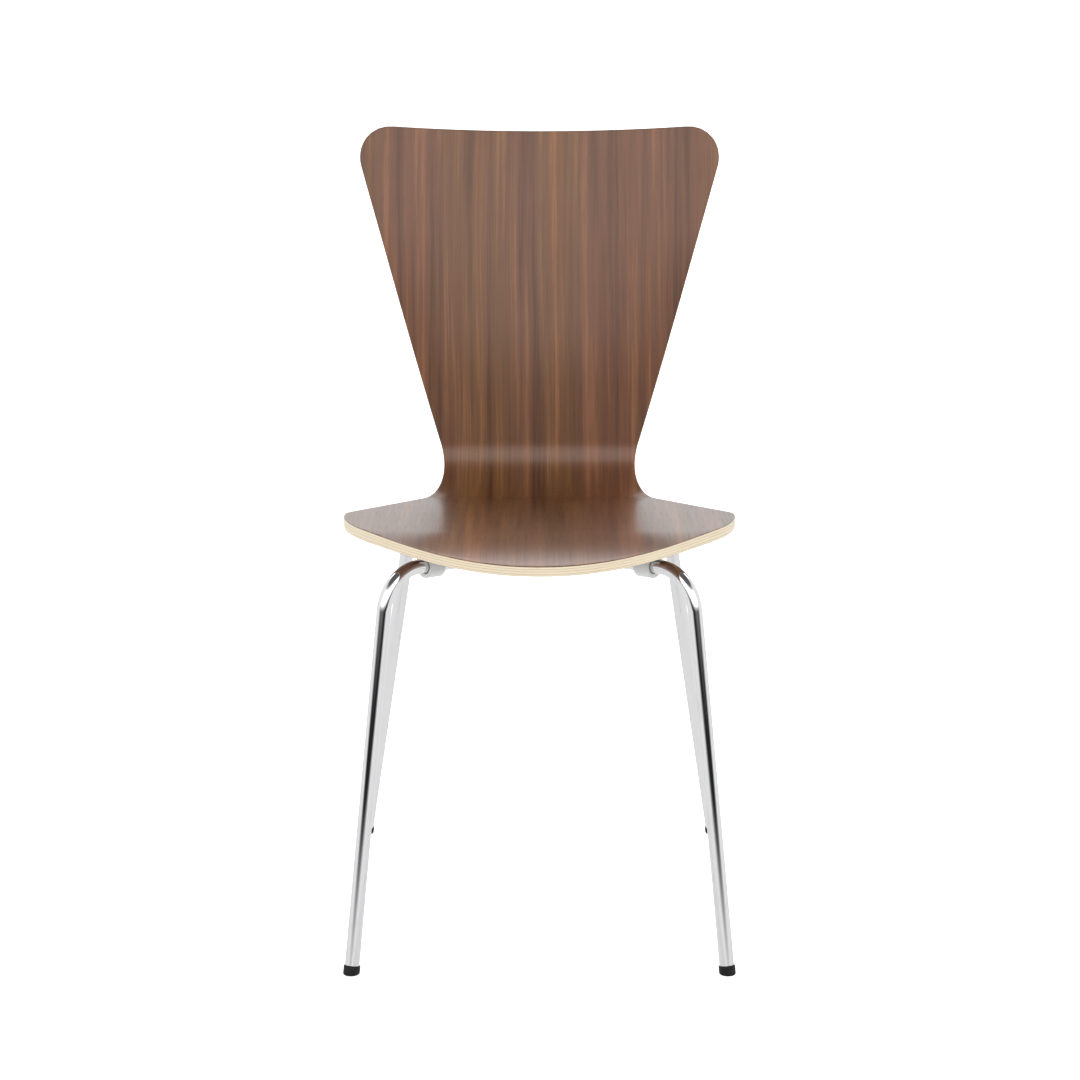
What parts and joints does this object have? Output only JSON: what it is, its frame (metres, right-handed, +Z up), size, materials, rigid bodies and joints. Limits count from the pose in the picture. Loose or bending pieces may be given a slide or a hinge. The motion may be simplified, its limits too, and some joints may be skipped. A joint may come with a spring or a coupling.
{
  "type": "stacking chair",
  "caption": "Stacking chair with a one-piece moulded plywood seat and back on four splayed legs bent from steel tube.",
  "frame": {"origin": "centre of the chair's bounding box, on the floor", "axes": "+Z up, the chair faces -Y, +X to the right as seen from in front of the chair"},
  "size_m": [0.4472, 0.5558, 0.8657],
  "materials": {
    "walnut_plywood": "satin lacquered walnut veneer, pale ply edge",
    "chrome": "polished chrome plate",
    "black_painted_steel": "satin black paint",
    "zinc_plated_steel": "zinc plate",
    "black_rubber": "matt",
    "black_plastic": "fine matt grain",
    "white_plastic": "slightly translucent, satin"
  },
  "bodies": {
    "root": {"seat_shell": "walnut_plywood", "front_leg_tube": "chrome", "rear_leg_tube": "chrome", "mounting_plate": "black_painted_steel", "base_cover": "black_plastic", "foot_cap_front_left": "black_plastic", "shell_pad_front_left": "black_rubber", "mounting_screw_front_left": "zinc_plated_steel", "screw_washer_front_left": "zinc_plated_steel", "threaded_insert_front_left": "zinc_plated_steel", "stacking_spacer_front_left": "white_plastic", "foot_cap_front_right": "black_plastic", "shell_pad_front_right": "black_rubber", "mounting_screw_front_right": "zinc_plated_steel", "screw_washer_front_right": "zinc_plated_steel", "threaded_insert_front_right": "zinc_plated_steel", "stacking_spacer_front_right": "white_plastic", "foot_cap_rear_left": "black_plastic", "shell_pad_rear_left": "black_rubber", "mounting_screw_rear_left": "zinc_plated_steel", "screw_washer_rear_left": "zinc_plated_steel", "threaded_insert_rear_left": "zinc_plated_steel", "stacking_spacer_rear_left": "white_plastic", "foot_cap_rear_right": "black_plastic", "shell_pad_rear_right": "black_rubber", "mounting_screw_rear_right": "zinc_plated_steel", "screw_washer_rear_right": "zinc_plated_steel", "threaded_insert_rear_right": "zinc_plated_steel", "stacking_spacer_rear_right": "white_plastic"}
  },
  "joints": []
}
